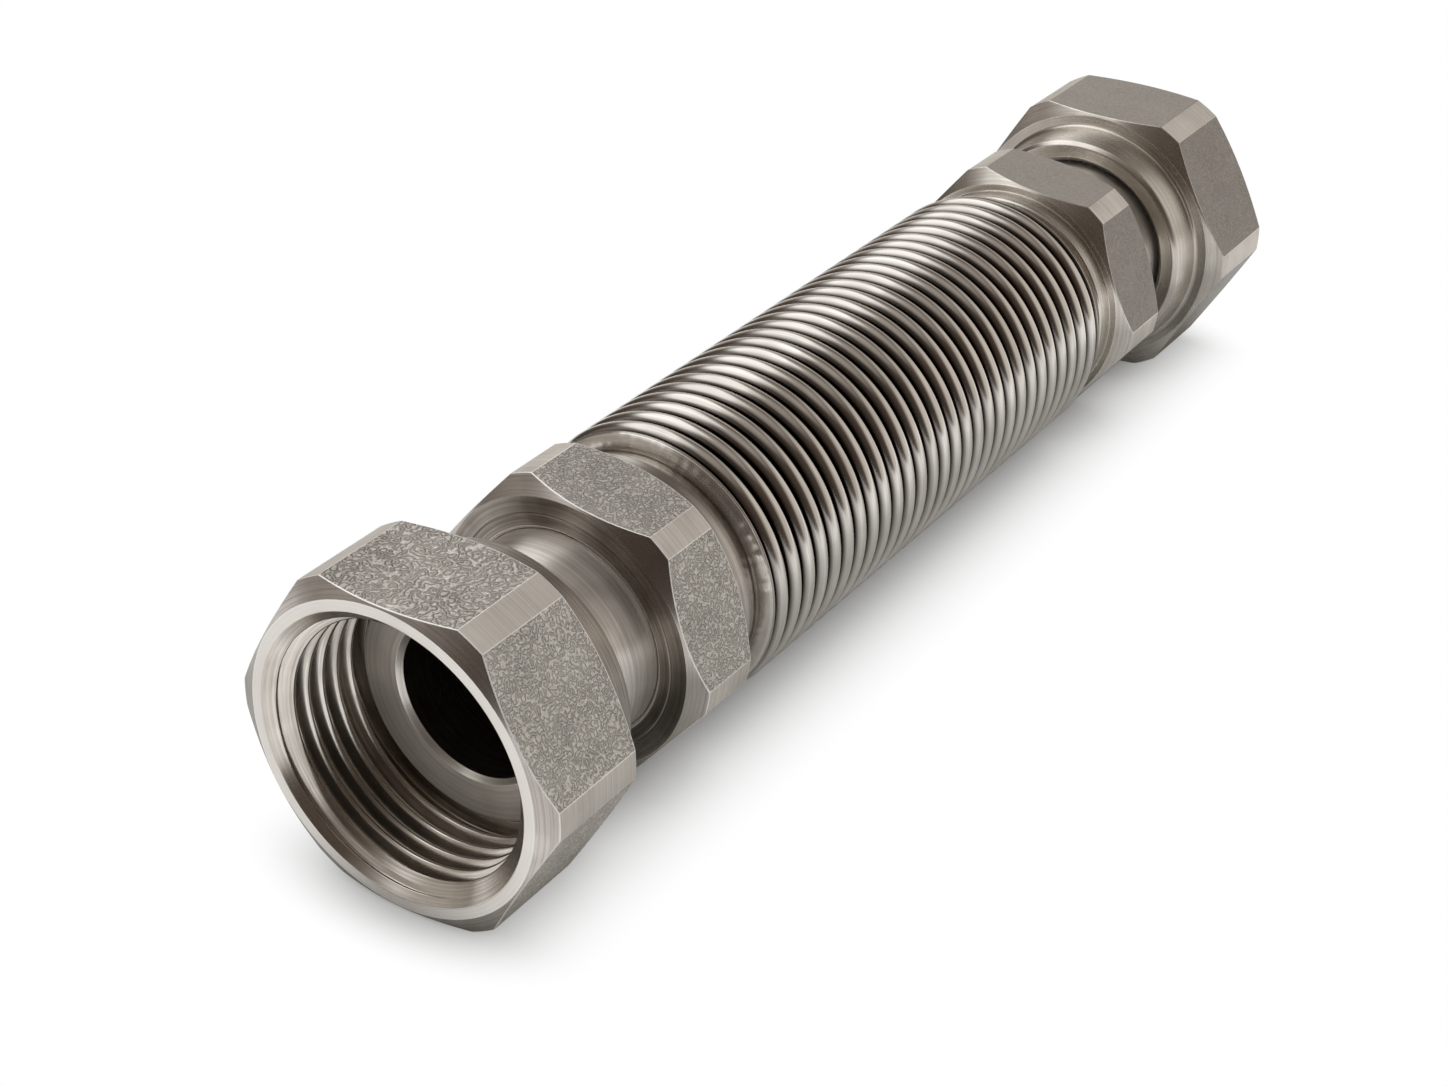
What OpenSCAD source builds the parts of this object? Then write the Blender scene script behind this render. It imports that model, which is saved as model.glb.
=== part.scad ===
// Short corrugated metal hose with a loose union nut at each end.
// The hose lies along X with its middle over the origin, and both nuts rest on a flat at z = 0.

/* [Union nuts] */
// Width of a nut across its flats
nut_af = 38; // [37.6:0.1:40]
// Diameter the nut's six corners are turned to
nut_corner_d = 42; // [41:0.1:43]
// Diameter of the flat ring that the outer chamfer leaves on each face
nut_face_d = 37.4; // [36:0.1:37.6]
// Axial depth of the outer chamfers, measured at a corner
nut_chamfer = 1.25; // [0.8:0.05:2]
// Length of the hexagon
nut_hex_l = 15.5; // [14.5:0.1:18]
// Diameter of the turned collar where it leaves the hexagon
nut_collar_root_d = 34.2; // [33.2:0.1:35.5]
// Diameter of the collar at its free end
nut_collar_end_d = 32.6; // [31:0.1:33]
// Length of the collar
nut_collar_l = 5; // [4:0.1:7]
// Width of the chamfer on the collar's outer edge
nut_collar_edge = 0.5; // [0.2:0.1:0.8]
// Width of the chamfer round the hole at the back
nut_hole_edge = 0.75; // [0.3:0.05:1]

/* [Nut thread] */
// Crest diameter of the internal G1 pipe thread, bored plain
thread_bore_d = 30.29; // [30.2:0.01:30.5]
// Diameter of the countersink at the mouth
mouth_d = 34.8; // [33.6:0.1:35.4]
// Depth from the mouth to the end of the thread
thread_end = 11.9; // [10:0.1:12.4]
// Diameter of the relief groove behind the thread
relief_d = 33.8; // [33.3:0.1:34.4]
// Width of the relief groove where it opens
relief_w = 2.2; // [1.6:0.1:2.8]
// Axial run of each sloping side of the relief groove
relief_side = 0.6; // [0.2:0.1:0.7]

/* [Tailpieces] */
// Depth of the seat face below the nut's mouth
seat_depth = 13.1; // [12:0.1:14]
// Diameter of the flange that the nut pulls on
flange_d = 29.6; // [28.6:0.1:29.7]
// Thickness of the flange
flange_t = 3; // [2:0.1:4]
// Width of the chamfers on the flange's rim
flange_edge = 0.4; // [0.2:0.1:0.8]
// Diameter of the neck that the nut turns on
neck_d = 25.4; // [24:0.1:26.4]
// Length of the neck from the flange to the hexagonal body
neck_l = 13.6; // [10:0.1:16]
// Length of the neck that is brazed into the hexagonal body
socket_l = 6; // [4:0.5:8]

/* [Flow path] */
// Diameter of the bore through both ends
bore_d = 19; // [16:0.5:20]
// Width of the chamfer at the bore's mouth
bore_edge = 0.6; // [0.2:0.1:1]

/* [Hexagonal bodies] */
// Width of a body across its flats
hex_af = 34; // [33.6:0.1:36]
// Diameter the body's corners are turned to
hex_corner_d = 37.6; // [36.8:0.1:37.9]
// Diameter of the flat ring that the chamfer leaves on each face
hex_face_d = 33.4; // [32:0.1:33.6]
// Axial depth of the chamfers, measured at a corner
hex_chamfer = 1.6; // [1:0.1:2.4]
// Length of the hexagon
hex_l = 11.35; // [10:0.05:14]
// Width of the chamfer round the socket's mouth
socket_edge = 0.25; // [0.1:0.05:0.5]
// Diameter of the step behind the hexagon
step_d = 31.6; // [30.8:0.1:33]
// Length of the step
step_l = 2.8; // [1.5:0.1:4]
// Width of the small chamfer on the step's edge
step_edge = 0.2; // [0.1:0.05:0.4]
// Diameter of the weld spigot
spigot_d = 30; // [29:0.1:30.4]
// Length of the weld spigot
spigot_l = 3; // [2:0.1:5]
// Length of the locating nose inside the tube
nose_l = 1.5; // [0.8:0.1:2.5]
// Turn of the near hexagon about the hose's axis
near_hex_turn = 10; // [-30:0.5:30]
// Turn of the far hexagon about the hose's axis
far_hex_turn = 7.5; // [-30:0.5:30]

/* [Weld seams] */
// Width of the weld seam along the hose
weld_w = 0.8; // [0.6:0.05:1.4]

/* [Corrugated tube] */
// Diameter over the crests
crest_d = 34.8; // [34:0.1:36]
// Diameter at the bottom of the grooves, measured outside
root_d = 26.4; // [25:0.1:27.5]
// Distance from crest to crest
pitch = 2.9; // [2.7:0.02:3.4]
// Number of crests
crests = 28; // [12:1:40]
// Width of the grooves between the crests
groove_w = 0.5; // [0.3:0.02:0.7]
// Thickness of the tube's wall
tube_wall = 0.3; // [0.2:0.05:0.4]
// Diameter of the flat rim that is welded to each spigot
rim_d = 34; // [33:0.1:34]

/* [Clearances] */
// Radial gap between a flange and the room for it in its nut
flange_gap = 0.345; // [0.3:0.005:0.8]
// Radial gap between a neck and its nut
neck_gap = 0.6; // [0.3:0.05:1]
// Axial gap between a flange and its nut's shoulder
shoulder_gap = 0.3; // [0.1:0.05:0.5]
// Radial gap filled by braze between a neck and its socket
braze_gap = 0.05; // [0.02:0.01:0.1]
// Radial gap between a nose and the tube
nose_gap = 0.25; // [0.1:0.05:0.4]

/* [Hidden] */
$fn = 96;
// How far a cut runs past the face that it opens
over = 1;
axis_z = nut_af / 2;
// Distances from the hose's middle, outwards
tube_end = (crests * pitch + groove_w) / 2 + tube_wall;
spigot_end = tube_end + spigot_l;
step_end = spigot_end + step_l;
hex_end = step_end + hex_l;
flange_back = hex_end + neck_l;
seat_face = flange_back + flange_t;
mouth = seat_face + seat_depth;
// Distances from a nut's mouth, inwards
nut_shoulder = seat_depth + flange_t + shoulder_gap;
nut_back = nut_hex_l + nut_collar_l;
// Radii that follow from a neighbour and a clearance
room_r = flange_d / 2 + flange_gap;
nut_hole_r = neck_d / 2 + neck_gap;
socket_r = neck_d / 2 + braze_gap;
nose_r = root_d / 2 - tube_wall - nose_gap;
// Section of one corrugation
crest_round = (pitch - groove_w) / 2;
crest_centre_r = crest_d / 2 - crest_round;
root_round = groove_w / 2;
root_centre_r = root_d / 2 + root_round;

// Solid of revolution about X from [radius, x] points
module turned(points) {
    rotate([0, 90, 0])
        rotate_extrude()
            polygon(points);
}

// Hexagonal bar along +X with two flats level
module hex_bar(across, length) {
    rotate([0, 90, 0])
        rotate([0, 0, 30])
            cylinder(d = across / cos(30), h = length, $fn = 6);
}

// Hexagonal bar from x = 0, with its corners turned down and both ends chamfered
module turned_hex(across, corner_d, face_d, chamfer, length) {
    intersection() {
        hex_bar(across, length);
        turned([
            [0, 0], [face_d / 2, 0], [corner_d / 2, chamfer],
            [corner_d / 2, length - chamfer], [face_d / 2, length], [0, length]
        ]);
    }
}

// Puts an end's pieces on the hose's axis, with local +X pointing out of the mouth
module at_end(side) {
    translate([0, 0, axis_z])
        rotate([0, 0, side == "near" ? 180 : 0])
            children();
}

// Everything that is cut out of a nut: countersink, plain thread bore, relief groove, flange
// room, shoulder and the chamfered hole at the back
module nut_inside() {
    bore_r = thread_bore_d / 2;
    relief_r = relief_d / 2;
    relief_end = thread_end + relief_w;
    turned([
        [0, -over], [mouth_d / 2 + over, -over], [bore_r, mouth_d / 2 - bore_r],
        [bore_r, thread_end], [relief_r, thread_end + relief_side],
        [relief_r, relief_end - relief_side], [room_r, relief_end],
        [room_r, nut_shoulder], [nut_hole_r, nut_shoulder],
        [nut_hole_r, nut_back - nut_hole_edge],
        [nut_hole_r + nut_hole_edge + over, nut_back + over], [0, nut_back + over]
    ]);
}

// Loose nut: chamfered hexagon with a tapered collar behind it
module union_nut(side) {
    color([0.70, 0.68, 0.65])
        at_end(side)
            translate([mouth, 0, 0])
                rotate([0, 0, 180])
                    difference() {
                        union() {
                            turned_hex(nut_af, nut_corner_d, nut_face_d, nut_chamfer, nut_hex_l);
                            turned([
                                [0, nut_hex_l - over], [nut_collar_root_d / 2, nut_hex_l - over],
                                [nut_collar_root_d / 2, nut_hex_l],
                                [nut_collar_end_d / 2, nut_back - nut_collar_edge],
                                [nut_collar_end_d / 2 - nut_collar_edge, nut_back], [0, nut_back]
                            ]);
                        }
                        nut_inside();
                    }
}

// Flanged neck that the nut hangs on, with the seat face for a flat gasket
module tailpiece(side) {
    color([0.74, 0.72, 0.69])
        at_end(side)
            turned([
                [bore_d / 2, hex_end - socket_l], [neck_d / 2, hex_end - socket_l],
                [neck_d / 2, flange_back], [flange_d / 2 - flange_edge, flange_back],
                [flange_d / 2, flange_back + flange_edge], [flange_d / 2, seat_face - flange_edge],
                [flange_d / 2 - flange_edge, seat_face], [bore_d / 2 + bore_edge, seat_face],
                [bore_d / 2, seat_face - bore_edge]
            ]);
}

// Hexagonal body: socket for the neck in front, stepped spigot for the tube behind
module hex_body(side) {
    turn = side == "near" ? -near_hex_turn : far_hex_turn;
    color([0.66, 0.64, 0.61])
        at_end(side)
            difference() {
                union() {
                    translate([step_end, 0, 0])
                        rotate([turn, 0, 0])
                            turned_hex(hex_af, hex_corner_d, hex_face_d, hex_chamfer, hex_l);
                    turned([
                        [0, tube_end - nose_l], [nose_r, tube_end - nose_l], [nose_r, tube_end],
                        [spigot_d / 2, tube_end], [spigot_d / 2, spigot_end],
                        [step_d / 2 - step_edge, spigot_end], [step_d / 2, spigot_end + step_edge],
                        [step_d / 2, step_end + over], [0, step_end + over]
                    ]);
                }
                turned([
                    [0, tube_end - nose_l - over], [bore_d / 2, tube_end - nose_l - over],
                    [bore_d / 2, hex_end - socket_l], [socket_r, hex_end - socket_l],
                    [socket_r, hex_end - socket_edge],
                    [socket_r + socket_edge + over, hex_end + over], [0, hex_end + over]
                ]);
            }
}

// Weld seam between the spigot and the tube's flat rim, rounded, and square to the spigot
module weld_seam(side) {
    foot_r = spigot_d / 2;
    rise = rim_d / 2 - foot_r;
    // Radius of the arc from the rim's corner to the foot that stands square on the spigot
    arc_r = (rise * rise + weld_w * weld_w) / (2 * weld_w);
    color([0.62, 0.59, 0.55])
        at_end(side)
            rotate([0, 90, 0])
                rotate_extrude()
                    intersection() {
                        translate([foot_r, tube_end])
                            square([rise, weld_w]);
                        translate([foot_r, tube_end + weld_w - arc_r])
                            circle(r = arc_r);
                    }
}

// Half outline of the tube, shrunk by the given skin: the wall is what lies between two of them
module tube_outline(skin) {
    half = tube_end + (skin > 0 ? over : 0);
    difference() {
        union() {
            translate([0, -half])
                square([root_centre_r, 2 * half]);
            for (i = [0 : crests - 1]) {
                crest_x = (i - (crests - 1) / 2) * pitch;
                translate([0, crest_x - crest_round + skin])
                    square([crest_centre_r, 2 * (crest_round - skin)]);
                translate([crest_centre_r, crest_x])
                    circle(r = crest_round - skin, $fn = 48);
            }
        }
        for (i = [0 : crests])
            translate([root_centre_r, (i - crests / 2) * pitch])
                circle(r = root_round + skin, $fn = 48);
    }
}

// Thin tube with deep, round-topped corrugations and a flat rim at each end
module corrugated_tube() {
    color([0.72, 0.69, 0.66])
        translate([0, 0, axis_z])
            rotate([0, 90, 0])
                rotate_extrude() {
                    difference() {
                        tube_outline(0);
                        tube_outline(tube_wall);
                    }
                    for (rim_x = [-tube_end, tube_end - tube_wall])
                        translate([root_centre_r, rim_x])
                            square([rim_d / 2 - root_centre_r, tube_wall]);
                }
}

corrugated_tube();
weld_seam("near");  // near_weld_seam
hex_body("near");  // near_hex_body
tailpiece("near");  // near_tailpiece
union_nut("near");  // near_union_nut
weld_seam("far");  // far_weld_seam
hex_body("far");  // far_hex_body
tailpiece("far");  // far_tailpiece
union_nut("far");  // far_union_nut
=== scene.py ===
"""Looks of a short corrugated steel hose with a hexagonal body and a loose union nut at each end.

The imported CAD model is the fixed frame. Each piece here stands for one of its nodes and rides on
that node's body. Sizes are in millimetres, and meshes are written in metres.
"""

import logging
import math
from collections.abc import Callable, Mapping, Sequence
from dataclasses import dataclass, replace
from enum import Enum, IntEnum
from functools import partial
from typing import ClassVar, NamedTuple

import bmesh
import bpy
import numpy as np
from bpy.types import ID, Material, Mesh, Node, NodeSocket, NodeTree, Object
from mathutils import Matrix, Vector


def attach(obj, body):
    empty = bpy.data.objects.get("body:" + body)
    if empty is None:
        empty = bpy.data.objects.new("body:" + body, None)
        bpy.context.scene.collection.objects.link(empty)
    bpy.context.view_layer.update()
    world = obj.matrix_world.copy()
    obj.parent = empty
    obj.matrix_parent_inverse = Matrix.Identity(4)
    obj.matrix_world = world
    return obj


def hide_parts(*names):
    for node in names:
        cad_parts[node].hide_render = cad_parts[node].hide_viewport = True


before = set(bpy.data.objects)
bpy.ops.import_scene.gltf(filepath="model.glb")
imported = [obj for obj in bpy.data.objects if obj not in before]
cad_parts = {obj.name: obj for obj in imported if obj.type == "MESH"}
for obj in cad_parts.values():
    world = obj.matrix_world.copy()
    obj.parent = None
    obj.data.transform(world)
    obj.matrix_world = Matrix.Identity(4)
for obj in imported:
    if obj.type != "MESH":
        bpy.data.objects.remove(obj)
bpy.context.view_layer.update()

log = logging.getLogger("hose")

Triple = tuple[float, float, float]
Line = list[tuple[float, float]]

MM = 0.001
AXIS_Z = 19.0

# Blender's names of the kinds of node that the trees use most
MATH = "ShaderNodeMath"
VECTOR = "ShaderNodeVectorMath"
RANGE = "ShaderNodeMapRange"
NOISE = "ShaderNodeTexNoise"
MIX = "ShaderNodeMix"
SPLIT = "ShaderNodeSeparateXYZ"
MERGE = "ShaderNodeCombineXYZ"
COORDINATES = "ShaderNodeTexCoord"


class Side(Enum):
    """The end of the hose that a piece belongs to."""

    NEAR = "near"
    FAR = "far"

    @property
    def placement(self) -> Matrix:
        """Turns the local frame, whose +X points out of the mouth, into the CAD model's."""
        turn = Matrix.Rotation(math.pi, 4, "Z") if self is Side.NEAR else Matrix.Identity(4)
        return Matrix.Translation((0.0, 0.0, AXIS_Z * MM)) @ turn


class Skin(IntEnum):
    """The face of a piece, which is also the number of its material slot."""

    TURNED = 0
    BAR = 1
    BAR_TOP = 2
    FACE = 3
    INSIDE = 4
    STRIP = 5
    # Faces that get the painted edge highlight
    EDGE = 6
    # Faces that get the painted shade at the near end
    FILM = 7


class NeckSkin(IntEnum):
    """The faces of a neck beside its turned outside, with their material slots."""

    SEAT = 1
    BORE = 2


def linear(colour: str) -> tuple[float, float, float, float]:
    """Turns an sRGB hex colour into the linear colour that a shader takes.

    Args:
        colour: Six hex digits after a hash sign.

    Returns:
        Red, green, blue and an alpha of 1.
    """
    parts = [int(colour[i : i + 2], 16) / 255 for i in (1, 3, 5)]
    red, green, blue = (c / 12.92 if c <= 0.04045 else ((c + 0.055) / 1.055) ** 2.4 for c in parts)
    return red, green, blue, 1.0


def add_node(
    tree: NodeTree, kind: str, inputs: Mapping[str | int, object] | None = None, **settings: object
) -> Node:
    """Adds a node with its settings, and sets or links its inputs.

    Args:
        tree: The tree that gets the node.
        kind: Blender's name of the node's type.
        inputs: For each input's name or number, a value, a socket, or a node's first output.
        **settings: The node's own properties.

    Returns:
        The new node.
    """
    made = tree.nodes.new(kind)
    for key, value in settings.items():
        setattr(made, key, value)
    for key, value in (inputs or {}).items():
        if isinstance(value, Node):
            value = value.outputs[0]
        if isinstance(value, NodeSocket):
            tree.links.new(value, made.inputs[key])
        else:
            made.inputs[key].default_value = value
    return made


def new_material(name: str) -> Material:
    """Makes a material with nodes.

    Args:
        name: The real material and how its surface was made.

    Returns:
        The material, with Blender's usual shader and output.
    """
    material = bpy.data.materials.new(name)
    material.use_nodes = True
    return material


def show(name: str, data: ID) -> Object:
    """Makes an object and links it to the scene.

    Args:
        name: The object's name.
        data: Its mesh, lamp or camera.

    Returns:
        The object.
    """
    made = bpy.data.objects.new(name, data)
    bpy.context.scene.collection.objects.link(made)
    return made


# ---- sections and turned meshes


@dataclass(frozen=True)
class Corner:
    """A corner of a turned section, and the face that follows it.

    Fields: place along the axis, radius, the face's skin, the corner's fillet, the face's number of
    steps, whether the thread cutter may reach it, and whether the corner's arc gets the painted
    edge highlight.
    """

    along: float
    radius: float
    skin: IntEnum = Skin.TURNED
    fillet: float = 0.1
    steps: int = 1
    bored: bool = False
    worn: bool = False


class Point(NamedTuple):
    """A point of a section, with the skin and the bored mark of the face that follows it."""

    along: float
    radius: float
    skin: IntEnum
    bored: bool


Ring = list[Point]


# Steps of an edge's arc, how far its support rings stand off, and the share of a short face that
# an edge may take, with the share of that for its arc
ARC_STEPS = 3
SUPPORT = 0.12
FILLET_SHARE = 0.42
ARC_SHARE = 0.7


def rounded_ring(corners: Sequence[Corner]) -> Ring:
    """Rounds each corner of a closed section by an arc with a support ring on both sides.

    The support rings keep smooth shading flat between the edges, so an edge shows as a thin line.

    Args:
        corners: The section's corners in order.

    Returns:
        The ring. It has as many points for each set of corners with the same steps and fillets.
    """
    ring: Ring = []
    count = len(corners)
    places = [np.array((c.along, c.radius)) for c in corners]
    ends: list[list[np.ndarray]] = []
    for i, corner in enumerate(corners):
        here, before, after = places[i], places[i - 1], places[(i + 1) % count]
        if corner.fillet == 0:
            ends.append([here])
            continue
        back, ahead = before - here, after - here
        room = FILLET_SHARE * min(np.linalg.norm(back), np.linalg.norm(ahead))
        back, ahead = back / np.linalg.norm(back), ahead / np.linalg.norm(ahead)
        half = math.acos(max(-1.0, min(1.0, float(back @ ahead)))) / 2
        reach = min(corner.fillet / math.tan(half), room * ARC_SHARE)
        radius = reach * math.tan(half)
        middle = (back + ahead) / np.linalg.norm(back + ahead)
        centre = here + middle * radius / math.sin(half)
        first, last = here + back * reach - centre, here + ahead * reach - centre
        start = math.atan2(first[1], first[0])
        sweep = (math.atan2(last[1], last[0]) - start + math.pi) % (2 * math.pi) - math.pi
        support = reach + min(SUPPORT, room - reach)
        turns = [start + sweep * step / ARC_STEPS for step in range(ARC_STEPS + 1)]
        arc = [centre + radius * np.array((math.cos(t), math.sin(t))) for t in turns]
        ends.append([here + back * support, *arc, here + ahead * support])
    for i, corner in enumerate(corners):
        previous, run, following = corners[i - 1], ends[i], ends[(i + 1) % count][0]
        for number, point in enumerate(run):
            skin = previous.skin if number < len(run) // 2 else corner.skin
            # The arc of a marked corner gets the near-white painted highlight
            if corner.worn and 0 < number <= ARC_STEPS:
                skin = Skin.EDGE
            ring.append(Point(*point, skin, previous.bored or corner.bored))
        for step in range(1, corner.steps):
            point = run[-1] + (following - run[-1]) * step / corner.steps
            ring.append(Point(*point, corner.skin, corner.bored))
    return ring


def lathe_mesh(
    name: str, angles: Sequence[float], rings: Sequence[Ring], skins: np.ndarray
) -> Mesh:
    """Joins one ring for each angle into a closed shell about X.

    Args:
        name: The mesh's name.
        angles: The angle of each column about +X, from +Y towards +Z, in degrees.
        rings: The section at each angle.
        skins: The skin of each face, as columns by points.

    Returns:
        The mesh, smooth, with its faces pointing outwards.
    """
    points = np.array([[p[:2] for p in ring] for ring in rings]) * MM
    columns, count = points.shape[:2]
    turn = np.radians(np.asarray(angles))[:, None]
    along, radius = points[:, :, 0], points[:, :, 1]
    places = np.stack((along, radius * np.cos(turn), radius * np.sin(turn)), axis=2)
    column, point = np.meshgrid(np.arange(columns), np.arange(count), indexing="ij")
    right, up = (column + 1) % columns, (point + 1) % count
    corners = ((column, point), (column, up), (right, up), (right, point))
    faces = np.stack([c * count + p for c, p in corners], axis=2).reshape(-1, 4)
    x, r = points[0, :, 0], points[0, :, 1]
    if np.sum(x * np.roll(r, -1) - np.roll(x, -1) * r) < 0:
        faces = faces[:, ::-1]
    mesh = bpy.data.meshes.new(name)
    mesh.from_pydata(places.reshape(-1, 3).tolist(), [], faces.tolist())
    mesh.polygons.foreach_set("material_index", skins.reshape(-1).astype(np.int32))
    mesh.polygons.foreach_set("use_smooth", np.ones(len(faces), dtype=bool))
    mark = mesh.attributes.new("bored", "FLOAT", "POINT")
    bored = np.array([[p.bored for p in ring] for ring in rings], dtype=np.float32)
    mark.data.foreach_set("value", bored.reshape(-1))
    mesh.update()
    return mesh


def smooth_min(a: float, b: float, width: float) -> float:
    """The smaller of two numbers, with the change between them rounded over a width."""
    near = max(width - abs(a - b), 0.0) / width
    return min(a, b) - near * near * width / 4


# The turn of one flat, the flat that faces up, and how near its strip's edge gets the painted
# edge highlight
FLAT_TURN = 60.0
TOP_FLAT = 1
EDGE_TURN = 0.12
# Columns from a flat's middle, in degrees, and those on both sides of the strip's edge
FLAT_COLUMNS = (*(3.5 * i for i in range(1, 7)), 23.7, 27.5)
EDGE_COLUMNS = (0.0, 0.12, 0.24, 0.36, 0.6)


@dataclass(frozen=True)
class Hexagon:
    """A hexagon whose corners are turned down and whose ends are chamfered on the lathe."""

    across: float
    corner_d: float
    face_d: float
    chamfer: float
    edge_round: float = 0.06

    @property
    def strip_start(self) -> float:
        """Angle from a flat's middle to the turned strip on its corner, in degrees."""
        return math.degrees(math.acos(self.across / self.corner_d))

    def columns(self) -> list[float]:
        """Places the columns of one flat and its strips, close together at the edges.

        Returns:
            Their angles from the flat's middle, in degrees.
        """
        edge = [self.strip_start + s * d for d in EDGE_COLUMNS for s in ((1, -1) if d else (1,))]
        half = sorted([*FLAT_COLUMNS, *edge])
        return [-FLAT_TURN / 2, *(-a for a in reversed(half)), 0.0, *half]

    def radius(self, angle: float) -> float:
        """The hexagon's radius at an angle from a flat's middle."""
        flat = self.across / 2 / math.cos(math.radians(angle))
        return smooth_min(flat, self.corner_d / 2, self.edge_round)

    def chamfer_depth(self, radius: float) -> float:
        """How far down the side the end chamfer reaches where the hexagon has this radius."""
        return (radius - self.face_d / 2) / (self.corner_d - self.face_d) * 2 * self.chamfer

    def side_skin(self, flat: int, angle: float) -> Skin:
        """Names the skin of the hexagon's side.

        Args:
            flat: The flat's number.
            angle: The angle from the flat's middle, in degrees.

        Returns:
            The skin there.
        """
        # A thin band at the strip's edge gets the painted highlight
        if abs(angle - self.strip_start) < EDGE_TURN:
            return Skin.EDGE
        if angle > self.strip_start:
            return Skin.STRIP
        return Skin.BAR_TOP if flat == TOP_FLAT else Skin.BAR

    def shell(self, name: str, turn: float, section: Callable[[float], list[Corner]]) -> Mesh:
        """Builds the whole piece round the hexagon.

        Args:
            name: The mesh's name.
            turn: The hexagon's turn about its axis, in degrees.
            section: Gives the section's corners for a radius of the hexagon.

        Returns:
            The mesh, in the local frame of its end.
        """
        angles: list[float] = []
        rings: list[Ring] = []
        skins: list[list[int]] = []
        columns = self.columns()
        for flat in range(6):
            for angle, following in zip(columns, [*columns[1:], FLAT_TURN / 2]):
                ring = rounded_ring(section(self.radius(angle)))
                side = self.side_skin(flat, abs((angle + following) / 2))
                angles.append(FLAT_TURN / 2 + FLAT_TURN * flat + angle + turn)
                rings.append(ring)
                skins.append([int(side if p.skin is Skin.BAR else p.skin) for p in ring])
        return lathe_mesh(name, angles, rings, np.array(skins))


# ---- finishes


@dataclass(frozen=True)
class SteelFinish:
    """Stainless steel in two tones, whose gloss and relief follow a pattern.

    Fields: the material's name, its two tones, its roughness and metallic, and the relief's depth.
    TONES and GLOSSES are the pattern's range for the tones and for the gloss, and GLOSS_STEP is how
    far the roughness then goes either way.
    """

    name: str
    light: str
    dark: str
    roughness: float
    metallic: float
    depth_mm: float

    TONES: ClassVar[tuple[float, float]]
    GLOSSES: ClassVar[tuple[float, float]]
    GLOSS_STEP: ClassVar[float]

    def lay(self, tree: NodeTree, pattern: Node, height: Node) -> NodeSocket:
        """Gives the shader its gloss and relief, and mixes its colour.

        Args:
            tree: The material's tree.
            pattern: Takes the metal from its dark, rough tone to its light, smooth one.
            height: The relief.

        Returns:
            The colour.
        """
        add = partial(add_node, tree)
        shader = tree.nodes["Principled BSDF"].inputs
        shader["Metallic"].default_value = self.metallic
        first, last = self.TONES
        tone = add(RANGE, {"Value": pattern, "From Min": first, "From Max": last})
        dull, bright = self.roughness + self.GLOSS_STEP, self.roughness - self.GLOSS_STEP
        first, last = self.GLOSSES
        gloss = {"From Min": first, "From Max": last, "To Min": dull, "To Max": bright}
        rough = add(RANGE, {"Value": pattern, **gloss})
        relief = {"Strength": 1.0, "Distance": self.depth_mm * MM, "Height": height}
        tree.links.new(rough.outputs["Result"], shader["Roughness"])
        tree.links.new(add("ShaderNodeBump", relief).outputs["Normal"], shader["Normal"])
        tones = {"Factor": tone, 6: linear(self.dark), 7: linear(self.light)}
        return add(MIX, tones, data_type="RGBA").outputs[2]


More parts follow.
